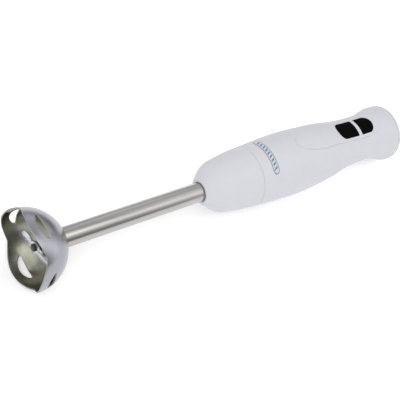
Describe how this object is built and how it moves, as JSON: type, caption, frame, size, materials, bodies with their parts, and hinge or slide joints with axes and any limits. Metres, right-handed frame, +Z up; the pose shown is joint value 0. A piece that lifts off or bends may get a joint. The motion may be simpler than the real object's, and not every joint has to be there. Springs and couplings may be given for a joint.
{
  "type": "immersion blender",
  "caption": "Hand-held stick blender: motor handle with two speed buttons and a twist-off foot with a steel tube, slotted bell and spinning blade.",
  "frame": {"origin": "centre of the bounding box on the surface the blender lies on, z = 0", "axes": "+X from the bell towards the handle, +Z up, the way the speed buttons face, +Y to complete a right-handed frame. The tool axis dips 0.9 degrees towards +X, because the bell is wider than the handle."},
  "size_m": [0.365, 0.0622, 0.0623],
  "materials": {
    "white_plastic": "satin moulded white with a cool tint",
    "button_rubber": "matte black",
    "bell_steel": "polished outside, brushed around inside",
    "tube_steel": "polished lengthwise",
    "blade_steel": "ground",
    "badge_print": "grey-blue print",
    "black_rubber": "matte",
    "black_plastic": "moulded",
    "grey_plastic": "moulded",
    "copper": "enamelled copper wire and copper bars",
    "bronze": "sintered bronze",
    "carbon": "pressed carbon",
    "board": "paper laminate",
    "laminate": "stacked steel laminations",
    "machine_steel": "turned"
  },
  "bodies": {
    "motor_body": {"motor_housing": "white_plastic", "switch_panel": "white_plastic", "badge": "badge_print", "nose_plate": "grey_plastic", "nose_plate_screw_1": "machine_steel", "nose_plate_screw_2": "machine_steel", "nose_plate_screw_3": "machine_steel", "end_cap": "white_plastic", "cord_gland": "black_rubber", "front_bracket": "machine_steel", "front_bush": "bronze", "rear_bracket": "machine_steel", "rear_bush": "bronze", "stator_core": "laminate", "upper_field_coil": "copper", "lower_field_coil": "copper", "motor_mount_ring": "black_rubber", "upper_brush_holder": "bronze", "upper_brush": "carbon", "upper_brush_spring": "machine_steel", "lower_brush_holder": "bronze", "lower_brush": "carbon", "lower_brush_spring": "machine_steel", "circuit_board": "board", "low_speed_microswitch": "black_plastic", "low_speed_spring": "machine_steel", "high_speed_microswitch": "black_plastic", "high_speed_spring": "machine_steel", "capacitor": "grey_plastic", "cord_clamp": "grey_plastic", "left_clamp_screw": "machine_steel", "right_clamp_screw": "machine_steel"},
    "rotor": {"motor_shaft": "machine_steel", "rotor_core": "laminate", "front_winding": "copper", "rear_winding": "copper", "commutator": "copper", "cooling_fan": "black_plastic", "motor_coupling": "black_plastic"},
    "gasket": {"coupling_gasket": "black_rubber"},
    "foot": {"foot_adapter": "white_plastic", "adapter_insert": "grey_plastic", "foot_tube": "tube_steel", "lower_bush": "bronze", "middle_bush": "bronze", "upper_bush": "bronze", "shaft_seal": "black_rubber", "blending_bell": "bell_steel"},
    "blade_drive": {"drive_shaft": "machine_steel", "foot_coupling": "black_plastic", "blade_spacer": "machine_steel", "blade": "blade_steel", "blade_nut": "black_plastic"},
    "low_speed_key": {"low_speed_button": "button_rubber", "low_speed_plunger": "grey_plastic"},
    "high_speed_key": {"high_speed_button": "button_rubber", "high_speed_plunger": "grey_plastic"}
  },
  "joints": [
    {"name": "motor_spin", "type": "hinge", "parent": "motor_body", "child": "rotor", "pos_m": [0.02129, 0, 0.0282], "axis": [0.9999, 0, -0.015], "continuous": true},
    {"name": "foot_pull_off", "type": "slide", "parent": "motor_body", "child": "gasket", "axis": [-0.9999, 0, 0.015], "range_m": [0, 0.06]},
    {"name": "foot_twist", "type": "hinge", "parent": "gasket", "child": "foot", "pos_m": [0.02129, 0, 0.0282], "axis": [0.9999, 0, -0.015], "range_deg": [0, 30]},
    {"name": "blade_spin", "type": "hinge", "parent": "foot", "child": "blade_drive", "pos_m": [0.02129, 0, 0.0282], "axis": [0.9999, 0, -0.015], "continuous": true},
    {"name": "low_speed_press", "type": "slide", "parent": "motor_body", "child": "low_speed_key", "axis": [-0.015, 0, -0.9999], "range_m": [0, 0.0015], "stiffness_N_per_m": 500, "springref_m": -0.002, "deforming": ["low_speed_spring"]},
    {"name": "high_speed_press", "type": "slide", "parent": "motor_body", "child": "high_speed_key", "axis": [-0.015, 0, -0.9999], "range_m": [0, 0.0015], "stiffness_N_per_m": 500, "springref_m": -0.002, "deforming": ["high_speed_spring"]}
  ],
  "couplings": [
    {"joint": "blade_spin", "follows": "motor_spin", "ratio": 1}
  ]
}
